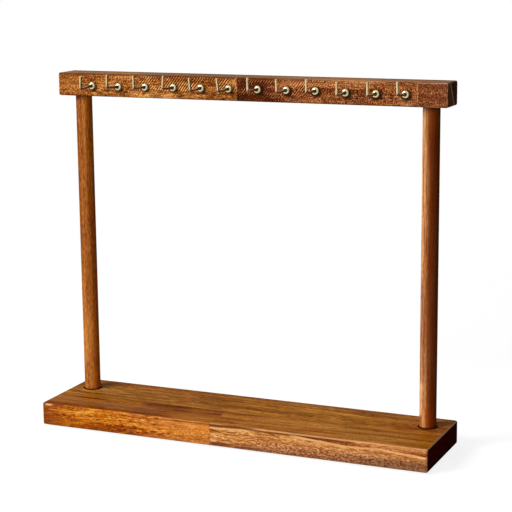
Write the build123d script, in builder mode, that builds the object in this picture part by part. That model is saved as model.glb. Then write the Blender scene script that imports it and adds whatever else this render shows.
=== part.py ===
from build123d import *
import math
import os

# Necklace stand: a rail with a row of bent brass hooks, on two round posts in a flat base.
# Millimetres. The origin is the centre of the footprint, on the surface the stand rests on.
# +X runs along the rail, -Y is the side with the hooks, +Z is up.

# Rail
rail_length = 346.0
rail_depth = 27.0
rail_height = 19.5
rail_edge_radius = 1.6
rail_left_stave = 168.0        # from the rail's left end to the first butt joint
rail_right_stave = 23.3        # from the last butt joint to the rail's right end

# Base
base_overhang = 1.0            # base past each end of the rail
base_depth = 83.5
base_thickness = 19.5
base_corner_radius = 2.2       # the four upright corners
base_edge_radius = 1.5
base_back_row = 14.5           # width of the narrow glued-up row at the back
base_middle_row = 34.5         # width of the row that carries the posts
front_left_stave = 160.0       # from the base's left end to the butt joint in the front row

# Posts
post_radius = 7.0
post_end_chamfer = 0.8
post_end_margin = 17.0         # from the rail's end to the post's axis
post_back_margin = 25.75       # from the base's back edge to the post's axis
clear_height = 262.0           # from the base's top to the rail's underside
rail_socket_depth = 10.0
rail_socket_clearance = 0.15
base_socket_floor = 7.5        # wood left under the post
base_socket_clearance = 0.45   # the thin dark ring that shows round each foot

# Hooks
hook_pitch = 25.4
hook_post_margin = 14.0        # least distance from a post's axis to the nearest hook
hook_below_top = 10.0          # from the rail's top to the shank's axis
wire_radius = 1.05
hook_reach = 19.6              # from the rail's face to the upright's axis
hook_rise = 10.5               # from the shank's axis to the upright's tip
hook_bend_radius = 1.8
hook_screw_length = 14.0       # inside the wood, at the thread's outer width
hook_point_length = 3.0
hook_clearance = 0.06
hook_hole_spare = 1.0          # hole past the point of the screw
hook_leans = (-4.0, -0.5, 1.8, -4.2, 4.8, 6.0, 1.0, 2.1, 0.3, -0.8, 0.3, 1.6)         # degrees, towards -X
hook_droops = (3.1, -3.3, -2.0, -2.2, 1.6, 1.5, -1.6, 0.3, -1.5, 0.9, -0.3, -2.9)    # degrees, outer end down
hook_shifts = (-0.5, -0.8, -0.9, 0.1, 0.1, -0.3, 0.2, 0.0, -0.2, -0.1, 0.0, -1.0)   # off the even spacing
hook_lifts = (-0.5, -0.7, -0.3, 0.0, 0.3, 0.4, 0.6, 0.7, 0.8, 0.1, 0.0, 0.3)         # above or below the row

# Collars
collar_radius = 3.25
collar_rim = 0.45
collar_height = 1.6
collar_bulge = 0.3             # how far the dome stands above the straight cone
collar_clearance = 0.2         # room for a hook that droops or rises in its collar

# Screws up through the base into the posts
screw_head_radius = 3.9
screw_head_land = 0.4
screw_shank_radius = 2.0
screw_length = 32.0
screw_point_length = 4.0
screw_clearance = 0.15
screw_sink_angle = 90.0
screw_hole_spare = 1.0         # pilot hole past the point of the screw
recess_width = 0.9
recess_span = 4.2
recess_depth = 1.6

# Pads under the base
pad_radius = 6.0
pad_thickness = 1.5
pad_end_margin = 24.0          # from the base's end to the pad's centre
pad_side_margin = 12.0         # from the base's long edge to the pad's centre

# Derived places
base_length = rail_length + 2 * base_overhang
base_bottom = pad_thickness
base_top = base_bottom + base_thickness
rail_bottom = base_top + clear_height
rail_top = rail_bottom + rail_height
post_y = base_depth / 2 - post_back_margin
post_x = rail_length / 2 - post_end_margin
post_bottom = base_bottom + base_socket_floor
post_length = rail_bottom + rail_socket_depth - post_bottom
rail_front = post_y - rail_depth / 2
hook_z = rail_top - hook_below_top
hook_count = int((2 * post_x - 2 * hook_post_margin) // hook_pitch) + 1
hook_first_x = -hook_pitch * (hook_count - 1) / 2
screw_in_post = base_bottom + screw_length - post_bottom
sink_slope = math.tan(math.radians(screw_sink_angle / 2))
screw_land_radius = screw_head_radius - screw_head_land * sink_slope
screw_head_height = (screw_head_radius - screw_shank_radius) / sink_slope

os.makedirs("parts", exist_ok=True)


def save(piece, name):
    piece.part.label = name
    export_step(piece.part, f"parts/{name}.step")


def save_stave(board, x_range, y_range, name):
    """Keep the stretch of a glued-up board that lies between two joints each way."""
    (x_low, x_high), (y_low, y_high) = x_range, y_range
    with BuildPart() as stave:
        add(board)
        with BuildSketch(Plane.XY):
            with Locations(((x_low + x_high) / 2, (y_low + y_high) / 2)):
                Rectangle(x_high - x_low, y_high - y_low)
        extrude(amount=rail_top, mode=Mode.INTERSECT)
    save(stave, name)


def hook_centre(index):
    """Where the axis of one hook's shank meets the rail's face."""
    along = hook_first_x + index * hook_pitch + hook_shifts[index % len(hook_shifts)]
    return (along, rail_front, hook_z + hook_lifts[index % len(hook_lifts)])


def hook_plane(index):
    """Plane of one hook: local X out of the rail along its shank, local Y along its upright."""
    lean = math.radians(hook_leans[index % len(hook_leans)])
    droop = math.radians(hook_droops[index % len(hook_droops)])
    along_shank = (0, -math.cos(droop), -math.sin(droop))
    across = (-math.cos(lean), math.sin(lean) * math.sin(droop), -math.sin(lean) * math.cos(droop))
    return Plane(origin=hook_centre(index), x_dir=along_shank, z_dir=across)


# Base: one board with eased edges, blind sockets on top and countersunk holes below, cut at its glue lines
with BuildPart() as base_board:
    with BuildSketch(Plane.XY.offset(base_bottom)):
        Rectangle(base_length, base_depth)
    extrude(amount=base_thickness)
    fillet(base_board.edges().filter_by(Axis.Z), radius=base_corner_radius)
    rims = base_board.faces().sort_by(Axis.Z)
    fillet(rims[0].edges() + rims[-1].edges(), radius=base_edge_radius)
    with Locations(Plane((0, post_y, base_top))):
        with Locations((-post_x, 0), (post_x, 0)):
            Hole(post_radius + base_socket_clearance, depth=base_top - post_bottom)
    with Locations(Plane((0, post_y, base_bottom), x_dir=(1, 0, 0), z_dir=(0, 0, -1))):
        with Locations((-post_x, 0), (post_x, 0)):
            CounterSinkHole(
                screw_shank_radius + screw_clearance,
                screw_head_radius + screw_clearance,
                depth=base_socket_floor,
                counter_sink_angle=screw_sink_angle,
            )

base_left, base_right = -base_length / 2, base_length / 2
front_butt = base_left + front_left_stave
back_joint = base_depth / 2 - base_back_row
front_joint = back_joint - base_middle_row
save_stave(base_board.part, (base_left, front_butt), (-base_depth / 2, front_joint), "base_front_stave_left")
save_stave(base_board.part, (front_butt, base_right), (-base_depth / 2, front_joint), "base_front_stave_right")
save_stave(base_board.part, (base_left, base_right), (front_joint, back_joint), "base_middle_stave")
save_stave(base_board.part, (base_left, base_right), (back_joint, base_depth / 2), "base_back_stave")

# Rail: one bar with eased edges, post sockets below and a bored hole behind each hook, cut at its butt joints
with BuildPart() as rail_bar:
    with BuildSketch(Plane((0, post_y, rail_bottom))):
        Rectangle(rail_length, rail_depth)
    extrude(amount=rail_height)
    fillet(rail_bar.edges(), radius=rail_edge_radius)
    with Locations(Plane((0, post_y, rail_bottom), x_dir=(1, 0, 0), z_dir=(0, 0, -1))):
        with Locations((-post_x, 0), (post_x, 0)):
            Hole(post_radius + rail_socket_clearance, depth=rail_socket_depth)
    for index in range(hook_count):
        face = hook_plane(index)
        with Locations(Plane(face.origin + face.x_dir * wire_radius, z_dir=face.x_dir)):
            Hole(wire_radius + hook_clearance, depth=wire_radius + hook_screw_length + hook_hole_spare)

rail_sides = (post_y - rail_depth / 2, post_y + rail_depth / 2)
rail_joints = (-rail_length / 2, rail_left_stave - rail_length / 2,
               rail_length / 2 - rail_right_stave, rail_length / 2)
for side, x_low, x_high in zip(("left", "middle", "right"), rail_joints, rail_joints[1:]):
    save_stave(rail_bar.part, (x_low, x_high), rail_sides, f"rail_stave_{side}")

# Posts: plain dowels, chamfered where they enter the sockets, each with a pilot hole for its screw
for side, x in (("left", -post_x), ("right", post_x)):
    with BuildPart() as post:
        with BuildSketch(Plane((x, post_y, post_bottom))):
            Circle(post_radius)
        extrude(amount=post_length)
        chamfer(post.edges().filter_by(GeomType.CIRCLE), length=post_end_chamfer)
        with Locations(Plane((x, post_y, post_bottom), z_dir=(0, 0, -1))):
            Hole(screw_shank_radius + screw_clearance, depth=screw_in_post + screw_hole_spare)
    save(post, f"post_{side}")

# Screws: flat cross-slotted head flush with the base's underside, shank at the thread's outer width, point
for side, x in (("left", -post_x), ("right", post_x)):
    with BuildPart() as screw:
        section = Plane((x, post_y, base_bottom), x_dir=(1, 0, 0), z_dir=(0, -1, 0))
        with BuildSketch(section):
            with BuildLine():
                Polyline(
                    (0, 0),
                    (screw_land_radius, 0),
                    (screw_land_radius, screw_head_land),
                    (screw_shank_radius, screw_head_height),
                    (screw_shank_radius, screw_length - screw_point_length),
                    (0, screw_length),
                    close=True,
                )
            make_face()
        revolve(axis=Axis((x, post_y, 0), (0, 0, 1)))
        with BuildSketch(Plane((x, post_y, base_bottom))):
            Rectangle(recess_span, recess_width)
            Rectangle(recess_width, recess_span)
        extrude(amount=recess_depth, mode=Mode.SUBTRACT)
    save(screw, f"base_screw_{side}")

# Hooks: wire with a square bend, cut flat at the tip, with its screw end inside the rail
for index in range(hook_count):
    face = hook_plane(index)
    with BuildPart() as hook:
        with BuildLine(face) as run:
            FilletPolyline((0, 0), (hook_reach, 0), (hook_reach, hook_rise), radius=hook_bend_radius)
        with BuildSketch(Plane(face.origin, z_dir=face.x_dir)):
            Circle(wire_radius)
        sweep(path=run.line)
        with BuildSketch(face):
            with BuildLine():
                Polyline(
                    (0, 0),
                    (0, wire_radius),
                    (hook_point_length - hook_screw_length, wire_radius),
                    (-hook_screw_length, 0),
                    close=True,
                )
            make_face()
        revolve(axis=Axis(face.origin, face.x_dir))
    save(hook, f"hook_{index + 1:02d}")

# Collars: thin domed washers on the wire, flat against the rail's face whatever the hook's droop
for index in range(hook_count):
    centre = hook_centre(index)
    with BuildPart() as collar:
        with BuildSketch(Plane(origin=centre, x_dir=(0, -1, 0), z_dir=(-1, 0, 0))):
            with BuildLine():
                collar_bore = wire_radius + collar_clearance
                Polyline(
                    (collar_height, collar_bore),
                    (0, collar_bore),
                    (0, collar_radius),
                    (collar_rim, collar_radius),
                )
                SagittaArc((collar_rim, collar_radius), (collar_height, collar_bore), collar_bulge)
            make_face()
        revolve(axis=Axis(centre, (0, -1, 0)))
    save(collar, f"collar_{index + 1:02d}")

# Pads: four discs near the corners of the base
pad_x = base_length / 2 - pad_end_margin
pad_y = base_depth / 2 - pad_side_margin
pad_places = {
    "front_left": (-pad_x, -pad_y),
    "front_right": (pad_x, -pad_y),
    "back_left": (-pad_x, pad_y),
    "back_right": (pad_x, pad_y),
}
for corner, centre in pad_places.items():
    with BuildPart() as pad:
        with BuildSketch(Plane.XY):
            with Locations(centre):
                Circle(pad_radius)
        extrude(amount=pad_thickness)
    save(pad, f"pad_{corner}")
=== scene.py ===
import bpy
import math
from mathutils import Matrix, Vector


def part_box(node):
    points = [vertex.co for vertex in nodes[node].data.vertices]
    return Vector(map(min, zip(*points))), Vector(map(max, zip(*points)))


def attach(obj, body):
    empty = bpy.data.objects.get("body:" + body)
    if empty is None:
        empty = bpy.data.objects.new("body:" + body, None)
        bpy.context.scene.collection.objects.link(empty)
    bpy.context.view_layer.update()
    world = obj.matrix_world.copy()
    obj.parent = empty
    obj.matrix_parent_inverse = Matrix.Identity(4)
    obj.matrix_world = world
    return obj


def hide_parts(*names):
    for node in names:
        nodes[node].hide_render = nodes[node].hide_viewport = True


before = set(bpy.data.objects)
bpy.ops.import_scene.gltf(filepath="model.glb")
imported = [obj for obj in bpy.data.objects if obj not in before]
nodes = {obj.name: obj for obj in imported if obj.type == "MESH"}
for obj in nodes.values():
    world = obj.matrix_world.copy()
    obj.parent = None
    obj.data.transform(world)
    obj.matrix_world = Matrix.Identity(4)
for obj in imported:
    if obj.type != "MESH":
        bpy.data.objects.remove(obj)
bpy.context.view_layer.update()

# Necklace stand, in metres. +X runs along the rail, -Y is the side with the hooks, +Z is up.
mm = 0.001
print("frame loaded:", len(nodes), "nodes")


def sideOf(nodeName, corner, axis):
    # where a piece ends, in millimetres: corner 0 is its low end along the axis, corner 1 its high end
    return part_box(nodeName)[corner][axis] / mm


def middleOf(nodeName):
    low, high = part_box(nodeName)
    return (Vector(low) + Vector(high)) / (2 * mm)


def colour(red, green, blue):
    # a colour as it is seen on screen, 0 to 255, turned into the linear values that sockets take
    values = []
    for part in (red, green, blue):
        part = part / 255
        values.append(part / 12.92 if part <= 0.04045 else ((part + 0.055) / 1.055) ** 2.4)
    return (*values, 1.0)


def dress(node, material):
    node.data.materials.clear()
    node.data.materials.append(material)


def newTree(name):
    material = bpy.data.materials.new(name)
    material.use_nodes = True
    material.node_tree.nodes.clear()
    return material, material.node_tree


def feed(tree, value, socket):
    if isinstance(value, bpy.types.NodeSocket):
        tree.links.new(value, socket)
    else:
        socket.default_value = value


def addNode(tree, kind, inputs=None, **settings):
    node = tree.nodes.new(kind)
    for key, value in settings.items():
        setattr(node, key, value)
    for key, value in (inputs or {}).items():
        feed(tree, value, node.inputs[key])
    return node


def calc(tree, operation, first, second=0.0):
    return addNode(tree, "ShaderNodeMath", {0: first, 1: second}, operation=operation).outputs[0]


def plus(tree, first, second):
    return calc(tree, "ADD", first, second)


def minus(tree, first, second):
    return calc(tree, "SUBTRACT", first, second)


def times(tree, first, second):
    return calc(tree, "MULTIPLY", first, second)


def vectorCalc(tree, operation, first, second=(0.0, 0.0, 0.0)):
    node = addNode(tree, "ShaderNodeVectorMath", {0: first, 1: second}, operation=operation)
    return node.outputs["Value" if operation in ("DOT_PRODUCT", "LENGTH", "DISTANCE") else "Vector"]


def spread(tree, value, start, end, low, high, kind="LINEAR"):
    # low to high while value goes from start to end
    span = {0: value, 1: start, 2: end, 3: low, 4: high}
    return addNode(tree, "ShaderNodeMapRange", span, interpolation_type=kind).outputs[0]


def fade(tree, value, start, end, low=0.0, high=1.0):
    # the same as a soft step
    return spread(tree, value, start, end, low, high, "SMOOTHSTEP")


def parts(tree, vector):
    return addNode(tree, "ShaderNodeSeparateXYZ", {0: vector}).outputs


def objectPlace(tree):
    # the place on the stand, in millimetres
    coords = addNode(tree, "ShaderNodeTexCoord")
    return addNode(tree, "ShaderNodeMapping", {
        "Vector": coords.outputs["Object"], "Scale": (1 / mm,) * 3,
    }).outputs[0]


def overpaint(tree, share, paint, over, mode="MIX"):
    # paint with this share of another shade, or of another paint, over it
    node = addNode(tree, "ShaderNodeMix", data_type="RGBA", blend_type=mode)
    feed(tree, share, node.inputs[0])
    feed(tree, paint, node.inputs[6])
    feed(tree, colour(*over) if isinstance(over, tuple) else over, node.inputs[7])
    return node.outputs[2]


seedShift = (7.31, 3.17, 5.53)     # how far one step of the seed moves a pattern through the noise


def blots(tree, place, size, seed, detail=2.0, roughness=0.5, output="Fac"):
    # noise whose blots are about this many millimetres long, wide and high
    mapping = addNode(tree, "ShaderNodeMapping", {
        "Vector": place,
        "Location": tuple(seed * part for part in seedShift),
        "Scale": tuple(1 / part for part in size),
    })
    noise = addNode(tree, "ShaderNodeTexNoise", {
        "Vector": mapping.outputs[0], "Scale": 1.0, "Detail": detail, "Roughness": roughness,
    })
    return noise.outputs[output]


wavePeriod = 0.31416     # the length of one wave when the scale is 1


def waves(tree, place, look, **settings):
    return addNode(tree, "ShaderNodeTexWave", {
        "Vector": place, "Scale": wavePeriod / look["spacing"], "Distortion": look["distortion"],
        "Detail": 2.0, "Detail Scale": look["detailScale"], "Detail Roughness": 0.6,
    }, **settings).outputs["Fac"]


def ramp(tree, value, steps, shades):
    node = addNode(tree, "ShaderNodeValToRGB", {0: value})
    band = node.color_ramp
    while len(band.elements) < len(steps):
        band.elements.new(0.5)
    for element, step, shade in zip(band.elements, steps, shades):
        element.position = step
        element.color = colour(*shade)
    return node.outputs[0]


def finishTree(tree, height, relief, inputs):
    surface = addNode(tree, "ShaderNodeBsdfPrincipled", inputs)
    bump = addNode(tree, "ShaderNodeBump", {"Height": height, "Distance": relief})
    tree.links.new(bump.outputs[0], surface.inputs["Normal"])
    output = addNode(tree, "ShaderNodeOutputMaterial")
    tree.links.new(surface.outputs[0], output.inputs[0])


# what all boards share, unless a board has its own value
woodLook = {
    "grain": "x", "tilt": (0, 0, 0), "coat": 0.06, "edgeAmount": 0.0,
    "zones": (), "endZones": (), "lifts": (), "speckles": (), "marks": (), "lines": (),
    "wander": 8.0,     # how far the grain strays, and over which lengths
    "wanderSize": (90, 24, 24),
    "rings": {"distortion": 1.2, "detailScale": 1.5},
    "upward": (0.2, 0.9),     # between these slopes the blots take their weight for the top
    "shadeSteps": (0.0, 0.3, 0.5, 0.7, 1.0),
    "raggedSize": (26, 2.2, 2.2),     # the teeth of every ragged border
    "streakReach": (0.56, 0.66),
    "poreSize": (4.0, 0.55, 0.55), "poreReach": (0.56, 0.68),
    "markFace": (0.5, 0.8), "markEdge": (1.25, 0.6), "markRagged": 0.8,
    "endFace": (0.55, 0.9),
    "endSteps": (0.25, 0.8), "endRings": 0.4, "endFibres": 0.6,
    "linePatch": (26, 26, 26), "linePatchReach": (0.38, 0.58), "lineCore": 0.3,
    "footHeight": (-1.5, -0.5),     # from the top of the base
    # the painted shadow round each collar on the rail: its shift, edge, depth and colour
    "collarMiddle": (1.0, -0.8), "collarEdge": 3.2, "collarDepth": (0.9, 0.4), "collarShadowColour": (40, 12, 4),
    "wearAndLightEdge": (0.985, 0.8), "wearAndLightSize": (12, 2, 2), "wearAndLightReach": (0.35, 0.62),
    "roughness": (0.46, 0.62),     # from the closed grain to the open grain
    "fibreReach": (0.3, 0.7),
    "specular": 0.0,
    "coatRoughness": 0.35,
    "relief": 0.00012, "fibreHeight": 0.6, "poreDepth": -0.6,
}
# fine slanting ripples across the rail's grain
hatchLook = {
    "distortion": 3.0, "detailScale": 0.25, "slant": (1.0, 0.3, -0.78),
    "patch": (20, 9, 7), "patchReach": (0.36, 0.56),
    "rise": (286, 293),     # they fade in between these heights
    "topFade": (0.6, 0.3),
    "calm": 0.4,     # how much they take away of the last blots
}
# each pattern reads its own part of the noise, this far from the board's seed
seedOf = {"wander": 0, "blots": 1, "streaks": 4, "pores": 5, "ragged": 6, "lines": 7, "wearAndLight": 8, "hatch": 9,
          "speckles": 12}
blotStep = 0.7


def zoneShare(tree, place, ragged, zone):
    # how far a point is inside a zone, each limit a soft and ragged step along one direction
    share = zone["amount"]
    for direction, start, end in zone["limits"]:
        value = vectorCalc(tree, "DOT_PRODUCT", place, direction)
        value = plus(tree, value, times(tree, ragged, zone["ragged"]))
        share = times(tree, share, fade(tree, value, start, end))
    return share


def paintZones(tree, place, ragged, paint, zones):
    for zone in zones:
        paint = overpaint(tree, zoneShare(tree, place, ragged, zone), paint, zone["shade"], zone["mode"])
    return paint


def markShare(tree, place, ragged, look, mark):
    # a small mark on the front: middle along and up, length, height, darkness
    across, up, long, high, darkness = mark
    offset = vectorCalc(tree, "SUBTRACT", place, (across, 0.0, up))
    offset = vectorCalc(tree, "MULTIPLY", offset, (2 / long, 0.0, 2 / high))
    away = plus(tree, vectorCalc(tree, "LENGTH", offset), times(tree, ragged, look["markRagged"]))
    return times(tree, fade(tree, away, *look["markEdge"]), darkness)


def lineShare(tree, place, ragged, look, line):
    # a thin line where the place along a direction has one value, broken up in patches
    value = vectorCalc(tree, "DOT_PRODUCT", place, line["direction"])
    value = plus(tree, value, times(tree, ragged, line["ragged"]))
    gap = calc(tree, "ABSOLUTE", minus(tree, value, line["at"]))
    patches = blots(tree, place, look["linePatch"], look["seeds"]["lines"])
    patches = fade(tree, patches, *look["linePatchReach"], line["least"], 1.0)
    share = times(tree, fade(tree, gap, line["width"], line["width"] * look["lineCore"]),
                  times(tree, patches, line["amount"]))
    for direction, start, end in line["limits"]:
        share = times(tree, share, fade(tree, vectorCalc(tree, "DOT_PRODUCT", place, direction), start, end))
    return share


def hatchSwing(tree, place, spans, sides, look, lastSwing):
    hatch = {**hatchLook, **look["hatch"]}
    slanted = addNode(tree, "ShaderNodeMapping", {"Vector": place, "Scale": hatch["slant"]}).outputs[0]
    ripples = waves(tree, slanted, hatch, wave_type="BANDS", bands_direction="DIAGONAL")
    where = fade(tree, blots(tree, place, hatch["patch"], look["seeds"]["hatch"]), *hatch["patchReach"])
    where = times(tree, where, fade(tree, spans[2], *hatch["rise"], hatch["least"], 1.0))
    where = times(tree, where, fade(tree, sides[2], *hatch["topFade"]))
    where = times(tree, where, fade(tree, spans[0], *hatch["start"]))
    where = times(tree, where, fade(tree, spans[0], *hatch["end"]))
    ripples = times(tree, minus(tree, ripples, 0.5), hatch["amount"])
    return times(tree, where, minus(tree, ripples, times(tree, lastSwing, hatch["calm"])))


def fromCollars(tree, place, shift, start=-math.inf, end=math.inf):
    # distance, seen along Y, to the nearest middle of a collar between two places along the rail
    flat = vectorCalc(tree, "MULTIPLY", place, (1.0, 0.0, 1.0))
    nearest = 100.0
    for nodeName in sorted(nodes):
        if nodeName.startswith("collar_") and start < middleOf(nodeName).x < end:
            middle = middleOf(nodeName)
            away = vectorCalc(tree, "DISTANCE", flat, (middle.x + shift[0], 0.0, middle.z + shift[1]))
            nearest = calc(tree, "MINIMUM", away, nearest)
    return nearest


def footShare(tree, spans, look):
    # painted shade round the foot of each post, on the top of the base where the post meets it
    foot = middleOf("post_right")
    across = minus(tree, calc(tree, "ABSOLUTE", spans[0]), foot.x)
    ring = addNode(tree, "ShaderNodeCombineXYZ", {0: across, 1: minus(tree, spans[1], foot.y)})
    away = vectorCalc(tree, "LENGTH", ring.outputs[0])
    low, high = (baseTop + part for part in look["footHeight"])
    return times(tree, fade(tree, away, *look["footReach"]), fade(tree, spans[2], low, high))


def collarShadowShare(tree, place, spans, look, nodeName):
    # a painted shadow round each collar, shifted to the lower right where the collar and its hook would cast
    # it
    away = fromCollars(tree, place, look["collarMiddle"], sideOf(nodeName, 0, 0), sideOf(nodeName, 1, 0))
    near, far = (railFront + part for part in look["collarDepth"])
    ringed = fade(tree, away, look["collarReach"], look["collarEdge"])
    ringed = times(tree, ringed, fade(tree, spans[1], near, far))
    return times(tree, ringed, look["collarAmount"])


def wearAndLightShare(tree, place, sides, look):
    # the eased edges, rubbed in patches and painted in each board's edge colour: a painted highlight where it
    # is pale, as on the base and the right end of the rail, painted shade where it is dark, as on the rest of
    # the rail
    widest = calc(tree, "MAXIMUM", calc(tree, "MAXIMUM", sides[0], sides[1]), sides[2])
    patches = blots(tree, place, look["wearAndLightSize"], look["seeds"]["wearAndLight"], detail=3)
    wearAndLight = times(tree, fade(tree, widest, *look["wearAndLightEdge"]), fade(tree, patches, *look["wearAndLightReach"]))
    return times(tree, wearAndLight, look["edgeAmount"])


def woodMaterial(nodeName, board):
    look = {**woodLook, **board}
    look["seeds"] = seeds = {pattern: look["seed"] + step for pattern, step in seedOf.items()}
    material, tree = newTree("wood_" + nodeName)
    place = objectPlace(tree)
    spans = parts(tree, place)
    order = {"x": (0, 1, 2), "z": (2, 0, 1)}[look["grain"]]
    grain = addNode(tree, "ShaderNodeCombineXYZ", {slot: spans[axis] for slot, axis in enumerate(order)})
    grain = addNode(tree, "ShaderNodeMapping", {
        "Vector": grain.outputs[0],
        "Location": look["pith"],
        "Rotation": tuple(math.radians(part) for part in look["tilt"]),
    }).outputs[0]

    # the grain wanders: the patterns of the wood read the bent place
    wander = blots(tree, grain, look["wanderSize"], seeds["wander"], detail=3, roughness=0.55, output="Color")
    wander = vectorCalc(tree, "SUBTRACT", wander, (0.5, 0.5, 0.5))
    wander = vectorCalc(tree, "MULTIPLY", wander, (0.0, look["wander"], look["wander"]))
    bent = vectorCalc(tree, "ADD", grain, wander)

    shape = addNode(tree, "ShaderNodeNewGeometry")
    sides = parts(tree, vectorCalc(tree, "ABSOLUTE", shape.outputs["Normal"]))

    # growth rings about the pith, then blots of several sizes, long and thin along the grain
    rings = waves(tree, bent, {**look["rings"], "spacing": look["ringSpacing"]},
                  wave_type="RINGS", rings_direction="X", wave_profile="SAW")
    tone = plus(tree, look["tone"], times(tree, minus(tree, rings, 0.5), look["ringAmount"]))
    fibres = None
    for step, (size, weight, roughness, *topWeight) in enumerate(look["blots"]):
        pattern = blots(tree, bent, size, seeds["blots"] + step * blotStep, detail=4, roughness=roughness)
        fibres = fibres or pattern
        if topWeight:
            weight = spread(tree, sides[2], *look["upward"], weight, topWeight[0])
        swing = times(tree, minus(tree, pattern, 0.5), weight)
        tone = plus(tree, tone, swing)
    if "hatch" in look:
        tone = plus(tree, tone, hatchSwing(tree, place, spans, sides, look, swing))
    ragged = blots(tree, bent, look["raggedSize"], seeds["ragged"], detail=4, roughness=0.65)
    ragged = minus(tree, ragged, 0.5)
    for zone in look["lifts"]:
        tone = plus(tree, tone, times(tree, zoneShare(tree, place, ragged, zone), zone["lift"]))
    for step, zone in enumerate(look["speckles"]):
        flecks = blots(tree, place, zone["size"], seeds["speckles"] + step, detail=3, roughness=0.6)
        flecks = minus(tree, flecks, 0.5)
        tone = plus(tree, tone, times(tree, flecks, zoneShare(tree, place, ragged, zone)))
    paint = ramp(tree, tone, look["shadeSteps"], look["shades"])

    # long dark streaks and short dark pores
    streaks = blots(tree, bent, look["streakSize"], seeds["streaks"], detail=3, roughness=0.6)
    streaks = fade(tree, streaks, *look["streakReach"])
    pores = fade(tree, blots(tree, bent, look["poreSize"], seeds["pores"]), *look["poreReach"])
    paint = overpaint(tree, times(tree, streaks, look["streakAmount"]), paint, look["streakShade"])
    paint = overpaint(tree, times(tree, pores, look["poreAmount"]), paint, look["poreShade"])

    # places where this board is redder, darker or paler, among them painted shade and a painted sheen, then
    # its own small marks
    paint = paintZones(tree, place, ragged, paint, look["zones"])
    if look["marks"]:
        onFront = fade(tree, sides[1], *look["markFace"])
        for mark in look["marks"]:
            share = times(tree, onFront, markShare(tree, place, ragged, look, mark))
            paint = overpaint(tree, share, paint, look["markShade"])

    # end grain drinks more varnish
    ends = fade(tree, sides[order[0]], *look["endFace"])
    endTone = plus(tree, times(tree, rings, look["endRings"]), times(tree, fibres, look["endFibres"]))
    paint = overpaint(tree, ends, paint, ramp(tree, endTone, look["endSteps"], look["endShades"]))
    # zones over the end grain, among them a painted highlight along the top edge over the base's right end
    paint = paintZones(tree, place, ragged, paint, look["endZones"])

    # glue joints and strong grain lines, then painted shade at the feet of the posts, painted shadows round
    # the collars, and the rubbed edges, painted pale as highlight on some boards and dark as shade on others
    for line in look["lines"]:
        paint = overpaint(tree, lineShare(tree, place, ragged, look, line), paint, line["shade"])
    if "footShade" in look:
        paint = overpaint(tree, footShare(tree, spans, look), paint, look["footShade"])
    if "collarReach" in look:
        paint = overpaint(tree, collarShadowShare(tree, place, spans, look, nodeName), paint, look["collarShadowColour"])
    if look["edgeAmount"]:
        paint = overpaint(tree, wearAndLightShare(tree, place, sides, look), paint, look["edgeShade"])

    height = plus(tree, times(tree, fibres, look["fibreHeight"]), times(tree, pores, look["poreDepth"]))
    finishTree(tree, height, look["relief"], {
        "Base Color": paint,
        "Roughness": spread(tree, fibres, *look["fibreReach"], *look["roughness"]),
        "Specular IOR Level": look["specular"],
        "Coat Weight": spread(tree, ends, 0.0, 1.0, look["coat"], 0.0),
        "Coat Roughness": look["coatRoughness"],
    })
    return material


# place and size values below are in millimetres, shades are screen colours
xAxis = (1, 0, 0)
yAxis = (0, 1, 0)
zAxis = (0, 0, 1)
acrossView = (0.916, 0.4, 0)     # to the right, as seen from a little to one side of the hooks


def alongX(start, end):
    return xAxis, start, end


def alongY(start, end):
    return yAxis, start, end


def alongZ(start, end):
    return zAxis, start, end


def acrossPost(start, end):
    return acrossView, start, end


def stain(shade, amount, ragged, *limits, mode="MIX"):
    # this share of a shade inside the limits, whose borders are ragged by so many millimetres
    return {"shade": shade, "amount": amount, "ragged": ragged, "limits": limits, "mode": mode}


def glaze(shade, ragged, *limits):
    # the wood darkened through a coloured glaze
    return stain(shade, 1, ragged, *limits, mode="MULTIPLY")


def lift(change, ragged, *limits):
    # paler grain, or darker where the change is below 0
    return {"lift": change, "amount": 1, "ragged": ragged, "limits": limits}


def speckle(amount, size, ragged, *limits):
    # small marks that this part of the board has more of
    return {"size": size, "amount": amount, "ragged": ragged, "limits": limits}


def stripe(direction, at, width, amount, shade, *limits, ragged=0, least=0.35):
    # a line at one value along a direction; least is the share of it where it is faintest
    return {"direction": direction, "at": at, "width": width, "amount": amount, "shade": shade,
            "limits": limits, "ragged": ragged, "least": least}


def grainLine(slope, height, width, amount, ragged, least, shade, *limits):
    # a line that runs along the board and climbs or falls a little
    return stripe((slope, 0, 1), height, width, amount, shade, *limits, ragged=ragged, least=least)


baseFront = sideOf("base_front_stave_left", 0, 1)
baseRight = sideOf("base_middle_stave", 1, 0)
baseTop = sideOf("base_middle_stave", 1, 2)
railFront = sideOf("rail_stave_middle", 0, 1)
railTop = sideOf("rail_stave_middle", 1, 2)

# limits that many zones share
frontFace = alongY(baseFront + 2.25, baseFront + 0.35)
frontSide = alongY(baseFront + 2.25, baseFront + 0.75)
flatFront = alongY(baseFront + 1.35, baseFront + 0.75)
topFace = alongY(baseFront + 0.35, baseFront + 2.25)
railFace = alongY(railFront + 2.1, railFront + 0.9)

# glue joints, where the staves meet
rowJoint = stripe(yAxis, sideOf("base_front_stave_left", 1, 1), 0.6, 0.85, (70, 32, 10))
backJoint = stripe(yAxis, sideOf("base_back_stave", 0, 1), 0.45, 0.5, (84, 42, 16))
frontButt = stripe(xAxis, sideOf("base_front_stave_left", 1, 0), 0.4, 0.55, (120, 60, 24))
railButt = stripe(xAxis, sideOf("rail_stave_left", 1, 0), 0.45, 0.85, (52, 22, 12))
railEndButt = stripe(xAxis, sideOf("rail_stave_right", 0, 0), 0.45, 0.8, (62, 24, 14))

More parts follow.
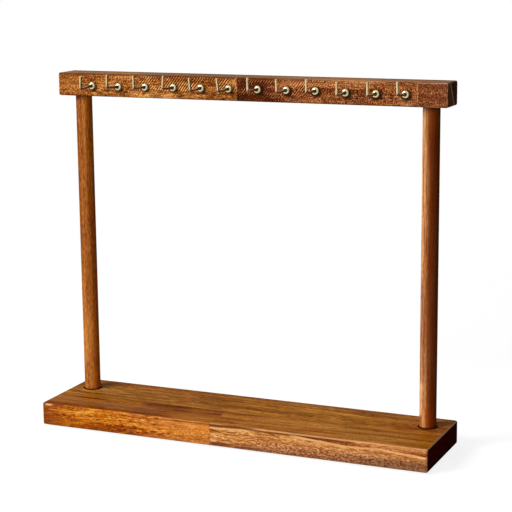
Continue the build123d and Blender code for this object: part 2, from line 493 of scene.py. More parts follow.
# what the boards of one kind share
baseWood = {"endShades": ((42, 7, 5), (84, 22, 12)), "edgeAmount": 0.4}
railWood = {"endShades": ((52, 22, 9), (112, 58, 32)), "edgeAmount": 0.5,
            "poreSize": (2, 0.9, 0.8), "poreAmount": 0.6}
postWood = {"grain": "z", "wander": 4, "coat": 0.02, "endShades": railWood["endShades"]}
# a painted highlight along the top edge over the right end of the base
paleRim = stain((216, 170, 132), 0.8, 0.4, alongX(baseRight - 1.3, baseRight - 0.8),
                alongZ(baseTop - 1.1, baseTop - 0.7))
# the top of the rail: a painted pale sheen, and darker along the back
railTopFace = stain((196, 144, 98), 0.6, 0.3, alongZ(railTop - 0.5, railTop - 0.1))
railTopBack = glaze((206, 200, 196), 5, alongZ(railTop - 1.7, railTop - 0.5), alongY(17, 24))
# painted shade at the foot of each post, where it meets the base
postFoot = stain((70, 14, 8), 0.95, 0.6, alongZ(baseTop + 1.2, baseTop + 0.6))

boards = {
    "base_front_stave_left": {
        "seed": 11, "pith": (0, 30, -34), "tilt": (0, 1.6, 0), "ringSpacing": 4.4, "ringAmount": 0.1,
        "tone": 0.5,
        "blots": (((14, 1, 0.8), 1.2, 0.72, 0.6), ((50, 5, 3.5), 0.9, 0.55),
                  ((7, 2.6, 2), 1.1, 0.65, 0.4), ((2.4, 0.8, 0.7), 1.3, 0.6, 0.3),
                  ((140, 9, 12), 0.6, 0.5)),
        "speckles": (
            speckle(2.4, (2.2, 2, 1), 12, alongX(-60, -48), frontFace, alongZ(17, 13)),
            speckle(1.9, (6, 2, 1), 8, alongX(-104, -92), alongX(-46, -56), frontFace),
            speckle(1.1, (7, 2, 1), 8, alongX(-92, -104), frontFace),
            speckle(2, (3.6, 2, 1.2), 6, alongX(-120, -108), alongX(-74, -84), frontFace,
                    alongZ(6.5, 4.5)),
        ),
        "shades": ((92, 28, 2), (146, 64, 6), (200, 108, 20), (226, 142, 40), (250, 188, 88)),
        "streakSize": (20, 2.2, 1), "streakAmount": 0.7, "streakShade": (110, 38, 6),
        "streakReach": (0.58, 0.66),
        "poreSize": (3.2, 0.7, 0.6), "poreAmount": 0.5, "poreShade": (96, 32, 6),
        "zones": (
            stain((227, 146, 76), 0.42, 30, alongX(-104, -60), frontFace),
            stain((156, 80, 36), 0.4, 12, alongX(-150, -162), frontFace),
            stain((124, 46, 8), 0.55, 5, alongZ(7.6, 5), alongX(-54, -72), alongX(-142, -122), frontSide),
            stain((164, 88, 14), 0.3, 9, alongZ(14, 8), alongX(-96, -124), frontSide),
            stain((110, 50, 24), 0.35, 5, alongX(-166, -173), frontSide),
            glaze((236, 236, 240), 5, alongY(-40.2, -41.2), alongX(-154, -164)),
            glaze((238, 232, 218), 16, alongY(-40.2, -41.2), alongX(-90, -104), alongX(-160, -150)),
            glaze((226, 242, 255), 2, topFace),
            glaze((230, 214, 196), 20, topFace, alongX(-100, -126), alongY(-22, -30)),
            stain((196, 124, 52), 0.5, 26, topFace, alongX(-66, -40), alongY(-16, -24)),
            stain((178, 116, 56), 0.3, 8, alongY(-35, -32), alongX(-148, -162)),
            stain((178, 118, 68), 0.34, 6, alongY(-35, -32), alongY(-14, -22), alongX(-50, -80)),
            glaze((232, 218, 204), 4, alongY(-41.4, -40.8), alongY(-32.5, -35), alongX(-50, -80)),
        ),
        "lifts": (
            lift(-0.14, 12, alongX(-150, -162), frontFace),
            lift(0.12, 8, alongX(-154, -146), alongX(-84, -96), alongZ(11, 15)),
            lift(-0.14, 3, alongX(-154, -146), alongZ(17.6, 18.8)),
            lift(0.1, 12, alongX(-84, -64), frontFace, alongZ(5, 9)),
            lift(-0.1, 10, alongX(-90, -74), frontFace, alongZ(9, 5)),
        ),
        "marks": ((-153, 12, 4, 1.6, 0.9), (-62.5, 19.4, 4.4, 1.3, 0.9), (-97.5, 13.6, 4, 1.3, 0.75),
                  (-130, 14.4, 15, 1.3, 0.55), (-133, 12.6, 9, 1.2, 0.5), (-81, 4.8, 4, 1.5, 0.8),
                  (-66.5, 7.4, 6, 1.5, 0.8), (-88, 6.4, 9, 1.2, 0.5), (-52, 7.4, 3.6, 1.3, 0.7),
                  (-59, 5.4, 10, 2.2, 0.6), (-47, 16.2, 4, 1.1, 0.55), (-70, 16.4, 4.4, 1, 0.55),
                  (-78, 13.4, 6, 1, 0.5), (-86, 11.2, 5, 1, 0.45), (-63, 11, 6, 1, 0.4),
                  (-42, 6.2, 12, 1.6, 0.4), (-24, 5.6, 9, 1.3, 0.4)),
        "markShade": (98, 34, 12),
        "lines": (
            rowJoint, frontButt,
            # painted shade along the rounded front top edge
            stripe(yAxis, -40.4, 0.9, 0.6, (112, 52, 12), alongZ(20, 20.6), ragged=1),
            grainLine(-0.012, 20, 0.8, 0.75, 1, 0.6, (106, 50, 26), alongX(-56, -44), flatFront),
            # a painted highlight along the top edge at the left end of the front
            grainLine(0.03, 14.7, 0.8, 0.8, 0.8, 0.9, (250, 200, 138), flatFront, alongX(-162, -167),
                      alongX(-171.6, -169.6)),
        ),
        **baseWood, "edgeShade": (228, 150, 76),
    },
    "base_front_stave_right": {
        "seed": 23, "pith": (0, 34, 42), "tilt": (0, -1.2, 0), "ringSpacing": 5.6, "ringAmount": 0.12,
        "tone": 0.53,
        "speckles": (speckle(6.5, (2.6, 1.5, 1.05), 4, alongZ(13.5, 8.5), frontFace, alongX(10, 60)),),
        "blots": (((12, 1, 0.8), 1.4, 0.72, 0.5), ((80, 5, 3), 1.1, 0.5),
                  ((5, 1, 0.8), 2, 0.6, 0.4), ((140, 9, 12), 1, 0.5)),
        "shades": ((112, 52, 20), (168, 98, 43), (211, 143, 75), (232, 168, 97), (250, 202, 136)),
        "lifts": (
            lift(-0.09, 8, alongX(12, 36), alongX(112, 98), frontFace, alongZ(11, 15)),
            lift(0.14, 2, ((0.072, 0, 1), 26.2, 27.4), alongX(104, 124), frontFace),
        ),
        "streakSize": (30, 3, 1), "streakAmount": 0.55, "streakShade": (134, 72, 32),
        "streakReach": (0.57, 0.65),
        "poreSize": (2, 0.9, 0.8), "poreAmount": 0.75, "poreShade": (104, 52, 24),
        "zones": (
            stain((178, 108, 66), 0.4, 3, ((0.02, 0, 1), 16.5, 14.5), alongX(-10, 60)),
            glaze((240, 224, 216), 3, ((0.05, 0, 1), 21.2, 22.2), alongX(62, 74), flatFront),
            glaze((204, 192, 204), 8, ((-0.03, 0, 1), 8, 3)),
            glaze((230, 212, 160), 2, topFace),
            glaze((240, 222, 170), 18, topFace, alongX(128, 166)),
            glaze((244, 232, 244), 8, alongX(90, 130), frontFace, alongZ(12, 16)),
            glaze((222, 222, 232), 8, alongX(90, 130), alongZ(10, 6)),
            glaze((236, 236, 226), 12, topFace, alongX(84, 96)),
        ),
        "endZones": (paleRim,),
        "marks": ((-5, 4.2, 22, 2.8, 0.85), (22, 3.6, 28, 1.8, 0.6), (8, 17.6, 6, 0.9, 0.3),
                  (44, 16.8, 9, 0.9, 0.35), (60, 13, 5, 1.1, 0.35), (92, 10.4, 6, 1.4, 0.35),
                  (120, 6.4, 8, 1.6, 0.4), (134, 8.6, 7, 1.6, 0.35), (150, 9.4, 8, 1.8, 0.4),
                  (158, 6.2, 9, 1.6, 0.35), (104, 7, 8, 1.4, 0.35)),
        "markShade": (104, 52, 30),
        "lines": (
            {**rowJoint, "amount": 0.45}, frontButt,
            grainLine(-0.047, 19.8, 2, 0.95, 0.8, 1, (104, 48, 20), alongX(36, 20), flatFront),
            grainLine(-0.047, 17.6, 0.9, 0.8, 0.8, 0.8, (240, 186, 118), alongX(40, 26), flatFront),
            grainLine(0.008, 19.5, 1.3, 0.9, 0.9, 0.9, (106, 50, 22), alongX(12, 24), alongX(122, 92),
                      flatFront),
            grainLine(0.08, 23.5, 1.1, 0.85, 0.6, 0.85, (240, 186, 122), alongX(54, 64), alongX(110, 102)),
            grainLine(-0.037, 11.4, 1, 0.75, 0.6, 0.8, (236, 178, 114), alongX(98, 108), alongX(142, 134)),
            grainLine(0.072, 26, 1.2, 0.85, 0.6, 0.85, (240, 186, 122), alongX(130, 140),
                      alongX(173.2, 172.2)),
            grainLine(0, 20.5, 0.9, 0.75, 0.6, 0.7, (226, 168, 108), alongY(-40, -40.6), alongX(20, 34)),
        ),
        **baseWood, "edgeShade": (224, 164, 100),
    },
    "base_middle_stave": {
        "seed": 37, "pith": (0, -10, -46), "tilt": (0, 0.5, 0.4), "ringSpacing": 5, "ringAmount": 0.16,
        "tone": 0.46,
        "blots": (((20, 1.8, 1.2), 1.2, 0.7), ((90, 7, 5), 0.9, 0.5), ((5, 1.3, 1), 0.9, 0.6)),
        "shades": ((102, 48, 8), (150, 86, 20), (194, 122, 40), (216, 146, 58), (236, 172, 84)),
        "streakSize": (50, 3, 2.2), "streakAmount": 0.32, "streakShade": (106, 54, 14),
        "poreAmount": 0.4, "poreShade": (92, 46, 12),
        "zones": (
            glaze((232, 214, 190), 20, alongX(110, 165)),
            glaze((226, 220, 232), 20, alongX(0, -40), alongX(-74, -54)),
            glaze((234, 236, 255), 20, alongX(-54, -74)),
            glaze((216, 196, 166), 6, alongX(-158, -165), alongY(4, 9)),
        ),
        "endZones": (paleRim,),
        "lines": ({**rowJoint, "amount": 0.6}, backJoint),
        "footReach": (8.9, 8.1), "footShade": (50, 20, 6),
        **baseWood, "edgeShade": (206, 144, 76),
    },
    "base_back_stave": {
        "seed": 41, "pith": (0, -60, 30), "tilt": (0, -0.4, 0.6), "ringSpacing": 4.2, "ringAmount": 0.2,
        "tone": 0.48,
        "blots": (((16, 1.4, 1), 1.3, 0.7), ((70, 6, 4), 0.8, 0.5), ((4, 1.1, 1), 0.9, 0.6)),
        "shades": ((92, 40, 10), (136, 74, 22), (176, 106, 38), (200, 130, 54), (226, 160, 82)),
        "streakSize": (50, 3, 1.8), "streakAmount": 0.5, "streakShade": (108, 52, 16),
        "poreAmount": 0.45, "poreShade": (96, 44, 16),
        "endZones": (paleRim,),
        "lines": (backJoint,),
        **baseWood, "edgeShade": (210, 148, 82),
    },
    "rail_stave_left": {
        "seed": 53, "pith": (0, 20, -330), "tilt": (0, 1, 0), "ringSpacing": 4, "ringAmount": 0.12,
        "tone": 0.45,
        "blots": (((6, 1.2, 1), 0.7, 0.7), ((30, 5, 4), 0.8, 0.5), ((0.9, 0.85, 0.85), 2.6, 0.6)),
        "speckles": (
            speckle(1.5, (5, 2, 1.5), 12, alongX(-152, -140), alongX(-52, -72)),
            speckle(1.5, (5, 2, 1.2), 8, alongX(-100, -80), alongZ(293, 289)),
        ),
        "shades": ((78, 30, 4), (126, 64, 16), (172, 104, 42), (204, 134, 66), (238, 176, 106)),
        "hatch": {"spacing": 1.18, "amount": 1.15, "start": (-104, -84), "end": (4, 0), "least": 0},
        "streakSize": (12, 2, 1.3), "streakAmount": 0.6, "streakShade": (92, 38, 10),
        "poreShade": (78, 32, 10),
        "zones": (
            railTopFace, railTopBack,
            glaze((230, 240, 246), 5, alongZ(301.8, 302.3), alongX(-112, -90)),
            # painted shade along the rounded front top edge
            stain((96, 42, 16), 0.72, 1.5, alongZ(300.6, 301.4), railFace),
        ),
        "lifts": (
            lift(-0.14, 4, alongZ(298, 300.5), alongX(-110, -150)),
            lift(-0.2, 8, alongZ(294, 298), alongX(-94, -80), alongX(-8, -20)),
            lift(0.14, 5, alongZ(295, 298), alongX(-118, -112), alongX(-96, -102)),
            lift(0.36, 6, alongZ(290, 286), alongX(-112, -94), alongX(-56, -70)),
            lift(-0.1, 6, alongZ(290, 286), alongX(-126, -150)),
            lift(-0.13, 8, alongZ(297, 287), alongX(-60, -20)),
        ),
        "collarReach": 5.2, "collarAmount": 0.75,
        "lines": (
            railButt,
            stripe((1, 0, 0.5), 141.3, 0.5, 0.8, (222, 160, 110), alongZ(291, 293), alongZ(301, 299),
                   ragged=0.5),
            stripe((1, 0, -0.45), -142, 0.8, 0.7, (214, 156, 100), alongZ(285, 289), ragged=3),
        ),
        **railWood, "edgeShade": (90, 44, 20),
    },
    "rail_stave_middle": {
        "seed": 67, "pith": (0, -36, -318), "tilt": (0, -0.7, 0), "ringSpacing": 3.6, "ringAmount": 0.12,
        "tone": 0.47,
        "blots": (((6, 1.2, 1), 0.7, 0.7), ((44, 5, 4), 0.8, 0.5), ((0.9, 0.85, 0.85), 3.2, 0.6)),
        "shades": ((56, 18, 6), (98, 42, 16), (142, 76, 36), (184, 112, 60), (226, 158, 96)),
        "hatch": {"spacing": 1.16, "amount": 1.2, "start": (-8, 4), "end": (100, 20), "least": 0.3},
        "streakSize": (14, 2, 1.3), "streakAmount": 0.5, "streakShade": (72, 26, 10),
        "poreShade": (62, 22, 10),
        "zones": (
            railTopFace, railTopBack,
            # painted shade along the rounded front top edge
            stain((96, 42, 18), 0.55, 2, alongZ(300.2, 301.2), railFace, alongX(70, 50)),
        ),
        "lifts": (
            lift(0.2, 10, alongZ(294.5, 298.5), alongX(16, 34), alongX(128, 100)),
            lift(-0.09, 5, alongZ(289, 291), alongZ(297, 295), alongX(40, 60), alongX(120, 100)),
            lift(0.09, 5, alongZ(290, 287), alongX(104, 118)),
            lift(-0.38, 14, ((1, 0, 0.4), 164, 130)),
        ),
        "collarReach": 5.9, "collarAmount": 0.9,
        "lines": (
            railButt, railEndButt,
            stripe(xAxis, 148.5, 0.7, 0.55, (206, 140, 94)),
            grainLine(0.008, 300.6, 0.7, 0.7, 1.2, 0.7, (112, 50, 20), alongX(44, 60), alongX(148, 140)),
            grainLine(0, 302.2, 0.7, 0.7, 0.6, 0.6, (222, 160, 102), alongY(5, 3.4), alongX(60, 80),
                      alongX(122, 108)),
        ),
        **railWood, "edgeShade": (78, 36, 18),
    },
    "rail_stave_right": {
        "seed": 71, "pith": (0, 26, -296), "tilt": (0, 2, 0), "ringSpacing": 3.4, "ringAmount": 0.1,
        "tone": 0.5,
        "blots": (((4, 1.2, 1.2), 0.7, 0.65), ((20, 4, 4), 0.5, 0.5), ((0.88, 0.82, 0.82), 3.4, 0.6)),
        "shades": ((60, 20, 6), (96, 42, 18), (128, 66, 32), (158, 90, 50), (200, 134, 86)),
        "streakSize": (10, 1.3, 1.3), "streakAmount": 0.35, "streakShade": (78, 32, 14),
        "poreSize": (1.8, 0.8, 0.8), "poreAmount": 0.6, "poreShade": (60, 24, 12),
        # the last zone is painted shade along the rounded front top edge
        "zones": (railTopFace, railTopBack, stain((92, 40, 20), 0.55, 1, alongZ(300.4, 301.4), railFace)),
        "lifts": (lift(0.04, 4, alongZ(291, 286)), lift(-0.1, 4, alongZ(295, 299))),
        "endZones": (
            stain((130, 92, 54), 0.8, 1.5, alongX(172.3, 172.7), ((0, 1, 0.3), 92.5, 94.5),
                  ((0, 1, 0.6), 193, 190)),
            stain((14, 6, 4), 0.9, 1.5, alongX(172, 172.6), alongY(25.5, 28)),
        ),
        "lines": (
            railEndButt,
            stripe((0, 1, 0.614), 194.7, 0.95, 1, (255, 214, 180), alongX(171.4, 172.4),
                   ragged=0.6, least=0.85),
        ),
        "endShades": ((60, 28, 16), (136, 80, 48)), "edgeAmount": 0.6, "edgeShade": (236, 182, 142),
    },
    "post_left": {
        **postWood, "seed": 83, "pith": (0, 170, -32), "ringSpacing": 3, "ringAmount": 0.1, "tone": 0.48,
        "blots": (((30, 1.1, 1), 0.6, 0.65), ((120, 4, 3), 0.5, 0.5), ((4, 0.9, 0.9), 1.1, 0.6)),
        "shades": ((84, 32, 6), (128, 64, 20), (164, 94, 40), (194, 122, 56), (224, 156, 82)),
        "streakSize": (30, 1.2, 1.2), "streakAmount": 0.2, "streakShade": (100, 44, 12),
        "poreAmount": 0.4, "poreShade": (88, 38, 10),
        "lifts": (
            lift(0.2, 30, alongZ(150, 60)),
            lift(0.16, 3, acrossPost(-139, -136), alongZ(190, 230)),
            lift(-0.2, 4, acrossPost(-137, -139.5), alongZ(58, 36)),
        ),
        "zones": (
            glaze((226, 224, 230), 3, acrossPost(-139, -142), alongZ(115, 150)),
            # painted shade: the post's right side, away from the light, darker and redder
            glaze((246, 218, 156), 2, acrossPost(-137.5, -132.5)),
            # painted shade at the top of the post, under the rail
            stain((70, 30, 10), 0.2, 3, alongZ(280, 284)),
            postFoot,
        ),
    },
    "post_right": {
        **postWood, "seed": 97, "pith": (0, -146, 0), "ringSpacing": 3.4, "ringAmount": 0.18, "tone": 0.47,
        "blots": (((40, 1.7, 1.6), 1.5, 0.62), ((110, 2.6, 2.6), 0.9, 0.5), ((5, 1, 1), 0.9, 0.6)),
        "shades": ((130, 70, 30), (178, 110, 60), (212, 146, 92), (232, 170, 114), (248, 200, 146)),
        "streakSize": (60, 1.6, 1.6), "streakAmount": 0.6, "streakShade": (122, 60, 22),
        "poreAmount": 0.35, "poreShade": (104, 50, 20),
        "lifts": (
            lift(0.14, 20, alongZ(180, 215)),
            lift(0.2, 3, acrossPost(147, 145), alongZ(70, 54)),
        ),
        "zones": (
            # the right side darker and redder: partly heartwood colour, partly painted shade away from the
            # light
            stain((102, 37, 3), 0.94, 4, ((0.916, 0.4, 0.006), 142.2, 150.4)),
            stain((146, 66, 10), 0.5, 3, alongZ(46, 30), acrossPost(144.5, 148)),
            stain((138, 74, 20), 0.85, 1.5, alongZ(33, 29), acrossPost(144.6, 143)),
            glaze((255, 232, 196), 2, alongZ(70, 30), acrossPost(144.5, 146)),
            glaze((222, 212, 216), 3, alongZ(57, 62), alongZ(152, 126), acrossPost(146, 144)),
            glaze((248, 228, 196), 4, alongZ(190, 206), acrossPost(144, 146)),
            stain((146, 72, 16), 0.3, 3, alongZ(258, 270), acrossPost(144.5, 148)),
            # painted shade at the top of the post, under the rail
            stain((70, 30, 10), 0.15, 3, alongZ(280, 284)),
            postFoot,
        ),
    },
}

for nodeName, board in boards.items():
    dress(nodes[nodeName], woodMaterial(nodeName, board))
print("wood:", len(boards), "boards and posts")


metalLook = {
    "hookBrass": {
        "shades": ((132, 108, 62), (178, 154, 98), (212, 190, 134)), "roughness": (0.18, 0.34),
        # painted light and shade on the hooks: highlight and far-side shade on the upright, a dark coat
        # painted as reflection and shade on the shank and elbow, a painted highlight on the shank's top
        "paintedShading": {
            "paintedHighlight": (246, 228, 184), "paintedHighlightAmount": 0.72, "paintedHighlightSide": (0.45, 0.0),
            "farSideShade": (60, 48, 22), "farSideNormal": (0.3, 0.72),
            "shade": (92, 42, 16), "deep": (44, 18, 8), "deepFrom": (-8.0, -2.0), "amount": 0.96,
            "start": -15.5, "end": -12.5,     # the dark coat on the shank, painted dark reflection and shade, starts between these depths
            "sway": (6.0, 2.0),               # how uneven its borders are, along and up
            "elbow": (8.9, 10.3),             # in the bend it starts this far below the hook's tip
            "elbowSide": (-0.7, -0.2),
            "wearAndLight": (240, 186, 148), "shankHighlightAmount": 0.9, "shankHighlightMiddle": 9.8, "wearAndLightReach": (5.6, 2.6),
            "shankHighlightTop": (0.0, 0.5),
            "dullness": 0.12,
        },
    },
    "collarBrass": {
        "shades": ((170, 152, 98), (220, 208, 160), (240, 232, 192)), "roughness": (0.14, 0.28),
        # painted shade in the gap round the wire and at the lower right of the rim
        "bore": {"shift": (0.0, 0.0), "reach": (2.1, 1.4), "shade": (50, 36, 12), "amount": 0.85},
        "rim": {"shift": (-0.35, 0.3), "reach": (2.75, 3.35), "shade": (64, 34, 12), "amount": 0.8},
    },
    "screwSteel": {"shades": ((120, 118, 114), (168, 166, 162), (200, 198, 194)), "roughness": (0.28, 0.45)},
    # how strong the painted shade on the far side of each hook's upright is
    "farSideShade": (1.0, 0.85, 0.9, 0.45, 0.75, 0.65, 0.4, 0.35, 0.3, 0.35, 0.4, 0.5),
    "cloudSize": (3, 3, 3), "scuffSize": (0.5, 0.5, 3.0), "cloudShare": 0.7, "scuffShare": 0.3,
    "shadeSteps": (0.34, 0.5, 0.66), "scuffReach": (0.3, 0.7), "specular": 0.2, "relief": 0.00002,
}


def shankShading(tree, spans, faces, cloud, paintedShading, tip):
    # a dark non-metal coat painted on the shank as its dark reflection of the wood, painted shade in the
    # elbow but for its left side, and a painted highlight on the top of the shank
    sway = minus(tree, cloud, 0.5)
    along = plus(tree, spans[1], times(tree, sway, paintedShading["sway"][0]))
    upward = plus(tree, spans[2], times(tree, sway, paintedShading["sway"][1]))
    high, low = (tip - drop for drop in paintedShading["elbow"])
    elbow = times(tree, fade(tree, upward, high, low), fade(tree, faces[0], *paintedShading["elbowSide"]))
    share = calc(tree, "MAXIMUM", fade(tree, along, paintedShading["start"], paintedShading["end"]), elbow)
    fromMiddle = calc(tree, "ABSOLUTE", plus(tree, along, paintedShading["shankHighlightMiddle"]))
    wearAndLight = times(tree, fade(tree, faces[2], *paintedShading["shankHighlightTop"]), fade(tree, fromMiddle, *paintedShading["wearAndLightReach"]))
    return times(tree, share, paintedShading["amount"]), times(tree, wearAndLight, paintedShading["shankHighlightAmount"])


def metalMaterial(name, look, tip=0.0, farSideShade=0.0):
    material, tree = newTree(name)
    place = objectPlace(tree)
    cloud = blots(tree, place, metalLook["cloudSize"], seed=3, detail=4, roughness=0.6)
    scuffs = blots(tree, place, metalLook["scuffSize"], seed=5, detail=3, roughness=0.6)
    tone = times(tree, cloud, metalLook["cloudShare"])
    tone = plus(tree, tone, times(tree, scuffs, metalLook["scuffShare"]))
    paint = ramp(tree, tone, metalLook["shadeSteps"], look["shades"])
    roughness = spread(tree, scuffs, *metalLook["scuffReach"], *look["roughness"])
    bare = 1.0
    # painted shade round the wire and at the lower right of each collar's rim
    for collarShading in (look.get("bore"), look.get("rim")):
        if collarShading:
            collarShadingShare = fade(tree, fromCollars(tree, place, collarShading["shift"]), *collarShading["reach"])
            paint = overpaint(tree, times(tree, collarShadingShare, collarShading["amount"]), paint, collarShading["shade"])
    paintedShading = look.get("paintedShading")
    if paintedShading:
        # a painted highlight on the upright's left side and painted shade on its far, right side
        shape = addNode(tree, "ShaderNodeNewGeometry")
        faces = parts(tree, shape.outputs["Normal"])
        paintedHighlight = times(tree, fade(tree, faces[0], *paintedShading["paintedHighlightSide"]), paintedShading["paintedHighlightAmount"])
        paint = overpaint(tree, paintedHighlight, paint, paintedShading["paintedHighlight"])
        farSideShaded = times(tree, fade(tree, faces[0], *paintedShading["farSideNormal"]), farSideShade)
        paint = overpaint(tree, farSideShaded, paint, paintedShading["farSideShade"])
        spans = parts(tree, place)
        share, wearAndLight = shankShading(tree, spans, faces, cloud, paintedShading, tip)
        # painted shade: the shank darker towards the collar
        deep = fade(tree, spans[1], *paintedShading["deepFrom"])
        shankPaint = overpaint(tree, deep, colour(*paintedShading["shade"]), paintedShading["deep"])
        shankPaint = overpaint(tree, wearAndLight, shankPaint, paintedShading["wearAndLight"])
        paint = overpaint(tree, share, paint, shankPaint)
        roughness = plus(tree, roughness, times(tree, share, paintedShading["dullness"]))
        bare = minus(tree, 1.0, share)
    finishTree(tree, scuffs, metalLook["relief"], {
        "Base Color": paint, "Roughness": roughness, "Metallic": bare,
        "Specular IOR Level": metalLook["specular"],
    })
    return material


collarBrass = metalMaterial("collarBrass", metalLook["collarBrass"])
screwSteel = metalMaterial("screwSteel", metalLook["screwSteel"])
for nodeName, node in nodes.items():
    if nodeName.startswith("hook_"):
        tip, farSideShade = sideOf(nodeName, 1, 2), metalLook["farSideShade"][int(nodeName[-2:]) - 1]
        dress(node, metalMaterial("brass_" + nodeName, metalLook["hookBrass"], tip, farSideShade))
    elif nodeName.startswith("collar_"):
        dress(node, collarBrass)
    elif nodeName.startswith("base_screw_"):
        dress(node, screwSteel)
print("brass and steel done")


feltLook = {
    "shades": ((30, 20, 15), (58, 42, 33), (92, 72, 60)), "shadeSteps": (0.38, 0.5, 0.62),
    "tuftSize": (0.9, 0.9, 0.5), "tuftShare": 0.4,
    "hairSize": (1.6, 0.16, 0.16), "crossedSize": (0.16, 1.4, 0.16), "hairShare": 0.3,
    "roughness": 0.95, "specular": 0.1, "sheen": 0.25, "sheenRoughness": 0.6, "relief": 0.0001,
    "ridge": 0.00012,     # how far the matted fibres stand up, and how far they are apart
    "ridgeSize": 0.0009,
    "easing": 0.0003, "easingSteps": 3,
    "corners": 72,
    "loops": 6,     # rings of faces between the rim and the middle
    "smoothAngle": 50,
}


def feltMaterial(look):
    material, tree = newTree("padFelt")
    place = objectPlace(tree)
    tufts = blots(tree, place, look["tuftSize"], seed=2, detail=4, roughness=0.7)
    hairs = blots(tree, place, look["hairSize"], seed=6, detail=3, roughness=0.6)
    crossed = blots(tree, place, look["crossedSize"], seed=8, detail=3, roughness=0.6)
    fluff = times(tree, plus(tree, hairs, crossed), look["hairShare"])
    mat = plus(tree, times(tree, tufts, look["tuftShare"]), fluff)
    finishTree(tree, mat, look["relief"], {
        "Base Color": ramp(tree, mat, look["shadeSteps"], look["shades"]),
        "Roughness": look["roughness"], "Specular IOR Level": look["specular"],
        "Sheen Weight": look["sheen"], "Sheen Roughness": look["sheenRoughness"],
    })
    return material


def goTo(mode):
    bpy.ops.object.mode_set(mode=mode)


def pickFlatFaces(disc, least):
    # select the faces that look up or down, and go back to edit mode
    goTo("OBJECT")
    for face in disc.data.polygons:
        face.select = abs(face.normal.z) > least
    goTo("EDIT")


def spansOf(disc):
    # the lowest and the highest value of a mesh along each axis
    values = [[vertex.co[axis] for vertex in disc.data.vertices] for axis in range(3)]
    return [(min(span), max(span)) for span in values]


def feltDisc(padName, look, material):
    # a punched felt disc, eased at both rims and matted all over, the size of the pad it stands for
    low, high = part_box(padName)
    middle = (Vector(low) + Vector(high)) / 2
    radius, thickness = (high[0] - low[0]) / 2, high[2] - low[2]
    bpy.ops.object.select_all(action="DESELECT")
    bpy.ops.mesh.primitive_cylinder_add(vertices=look["corners"], radius=radius, depth=thickness,
                                        location=middle)
    disc = bpy.context.object
    disc.name = "felt_" + padName
    bpy.ops.object.transform_apply(location=True, rotation=True, scale=True)
    goTo("EDIT")
    bpy.ops.mesh.select_mode(type="FACE")
    bpy.ops.mesh.select_all(action="DESELECT")
    pickFlatFaces(disc, least=0.9)
    bpy.ops.mesh.bevel(offset=look["easing"], segments=look["easingSteps"])
    pickFlatFaces(disc, least=0.999)
    for loop in range(look["loops"]):
        bpy.ops.mesh.inset(thickness=(radius - look["easing"]) / (look["loops"] + 1.0))
    bpy.ops.mesh.poke()
    goTo("OBJECT")
    ridges = bpy.data.textures.new(disc.name + "_ridges", "CLOUDS")
    ridges.noise_scale = look["ridgeSize"]
    matted = disc.modifiers.new("matted", "DISPLACE")
    matted.texture = ridges
    matted.texture_coords = "LOCAL"
    matted.strength = look["ridge"]
    bpy.ops.object.modifier_apply(modifier=matted.name)

    # back to the size and the place of the pad
    wide, deep, tall = (end - start for start, end in spansOf(disc))
    goTo("EDIT")
    bpy.ops.mesh.select_all(action="SELECT")
    bpy.ops.transform.resize(value=(2 * radius / wide, 2 * radius / deep, thickness / tall))
    goTo("OBJECT")
    centre = Vector([(end + start) / 2 for start, end in spansOf(disc)])
    goTo("EDIT")
    bpy.ops.transform.translate(value=middle - centre)
    bpy.ops.mesh.normals_make_consistent(inside=False)
    goTo("OBJECT")
    bpy.ops.object.shade_smooth_by_angle(angle=math.radians(look["smoothAngle"]))
    disc.data.materials.append(material)
    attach(disc, "root")
    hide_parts(padName)


padFelt = feltMaterial(feltLook)
for padName in ("pad_front_left", "pad_front_right", "pad_back_left", "pad_back_right"):
    feltDisc(padName, feltLook, padFelt)
print("felt discs done")


studio = {
    "floorSize": 30.0,
    "floorGrey": 0.3,
    "floorLift": 0.84,
    "floorBounce": 0.14,
    "floorShadow": (0.35, 0.9),     # the shadow is let go between these distances from the stand
    "worldLight": 0.12,
    "lampTarget": (0, 0, 0.15),
    "key": {"azimuth": -38, "elevation": 32, "distance": 2.2, "size": 0.9, "power": 40},
    "front": {"azimuth": -2, "elevation": 12, "distance": 2.4, "size": 1.8, "power": 25},
    "back": {"azimuth": 236, "elevation": 6, "distance": 2.4, "size": 1.8, "power": 26},
}


def bearing(turn, lift):
    # the direction from the stand at an azimuth and an elevation
    return Vector((math.sin(turn) * math.cos(lift), -math.cos(turn) * math.cos(lift), math.sin(lift)))


def addLamp(name, look, target):
    bpy.ops.object.select_all(action="DESELECT")
    away = bearing(math.radians(look["azimuth"]), math.radians(look["elevation"])) * look["distance"]
    bpy.ops.object.light_add(type="AREA", location=target + away)
    lamp = bpy.context.object
    lamp.name = name
    lamp.data.shape = "DISK"
    lamp.data.size = look["size"]
    lamp.data.energy = look["power"]
    lamp.rotation_mode = "QUATERNION"
    lamp.rotation_quaternion = (target - lamp.location).to_track_quat("-Z", "Y")
    return lamp


def seenShare(tree):
    # 1 for what the camera sees, also in a reflection, and 0 for what lights the stand
    path = addNode(tree, "ShaderNodeLightPath")
    seen = calc(tree, "MAXIMUM", path.outputs["Is Camera Ray"], path.outputs["Is Glossy Ray"])
    return calc(tree, "MAXIMUM", seen, path.outputs["Is Transmission Ray"])


# the softbox at the left shows as a highlight in the brass, the other two don't
for name in ("key", "front", "back"):
    addLamp(name + "Lamp", studio[name], Vector(studio["lampTarget"])).visible_glossy = name == "key"

world = bpy.data.worlds.new("studioWorld")
world.use_nodes = True
bpy.context.scene.world = world
tree = world.node_tree
tree.nodes.clear()
background = addNode(tree, "ShaderNodeBackground", {
    "Color": (1.0, 1.0, 1.0, 1.0),
    "Strength": spread(tree, seenShare(tree), 0.0, 1.0, studio["worldLight"], 1.0),
})
tree.links.new(background.outputs[0], addNode(tree, "ShaderNodeOutputWorld").inputs[0])

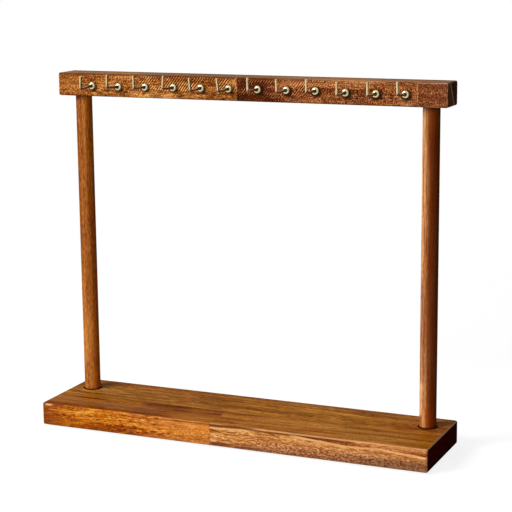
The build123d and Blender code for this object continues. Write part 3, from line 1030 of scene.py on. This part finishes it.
bpy.ops.object.select_all(action="DESELECT")
bpy.ops.mesh.primitive_plane_add(size=studio["floorSize"], location=(0, 0, 0))
floor = bpy.context.object
floor.name = "floor"
floorPaint, tree = newTree("floorPaint")
seen = seenShare(tree)
coords = addNode(tree, "ShaderNodeTexCoord")
away = vectorCalc(tree, "LENGTH", coords.outputs["Object"])
matte = addNode(tree, "ShaderNodeBsdfDiffuse", {"Color": (studio["floorGrey"],) * 3 + (1.0,)})
glow = addNode(tree, "ShaderNodeEmission", {
    "Strength": spread(tree, seen, 0, 1, studio["floorBounce"], studio["floorLift"]),
})
near = addNode(tree, "ShaderNodeAddShader", {0: matte.outputs[0], 1: glow.outputs[0]})
white = addNode(tree, "ShaderNodeEmission", {"Strength": seen})
both = addNode(tree, "ShaderNodeMixShader", {
    0: fade(tree, away, *studio["floorShadow"]), 1: near.outputs[0], 2: white.outputs[0],
})
tree.links.new(both.outputs[0], addNode(tree, "ShaderNodeOutputMaterial").inputs[0])
dress(floor, floorPaint)

cameraLook = {
    "lens": 110.407, "sensor": 36.0, "clip": (0.05, 100.0),
    "azimuth": 23.571, "elevation": 11.323, "roll": -0.55,
    "distance": 1.29885, "target": (0.011376, 0.0, 0.155783),
}


def addCamera(look):
    turn, lift, roll = (math.radians(look[key]) for key in ("azimuth", "elevation", "roll"))
    back = bearing(turn, lift)
    level = Vector((math.cos(turn), math.sin(turn), 0))
    upright = back.cross(level)
    right = level * math.cos(roll) + upright * math.sin(roll)
    up = upright * math.cos(roll) - level * math.sin(roll)
    bpy.ops.object.select_all(action="DESELECT")
    bpy.ops.object.camera_add(location=Vector(look["target"]) + back * look["distance"])
    camera = bpy.context.object
    camera.name = "camera"
    camera.data.sensor_fit = "HORIZONTAL"
    camera.data.sensor_width = look["sensor"]
    camera.data.lens = look["lens"]
    camera.data.clip_start, camera.data.clip_end = look["clip"]
    camera.rotation_mode = "QUATERNION"
    camera.rotation_quaternion = Matrix((right, up, back)).transposed().to_quaternion()
    bpy.context.scene.camera = camera


addCamera(cameraLook)
bpy.context.scene.view_settings.view_transform = "Standard"
print("floor, light and camera done")
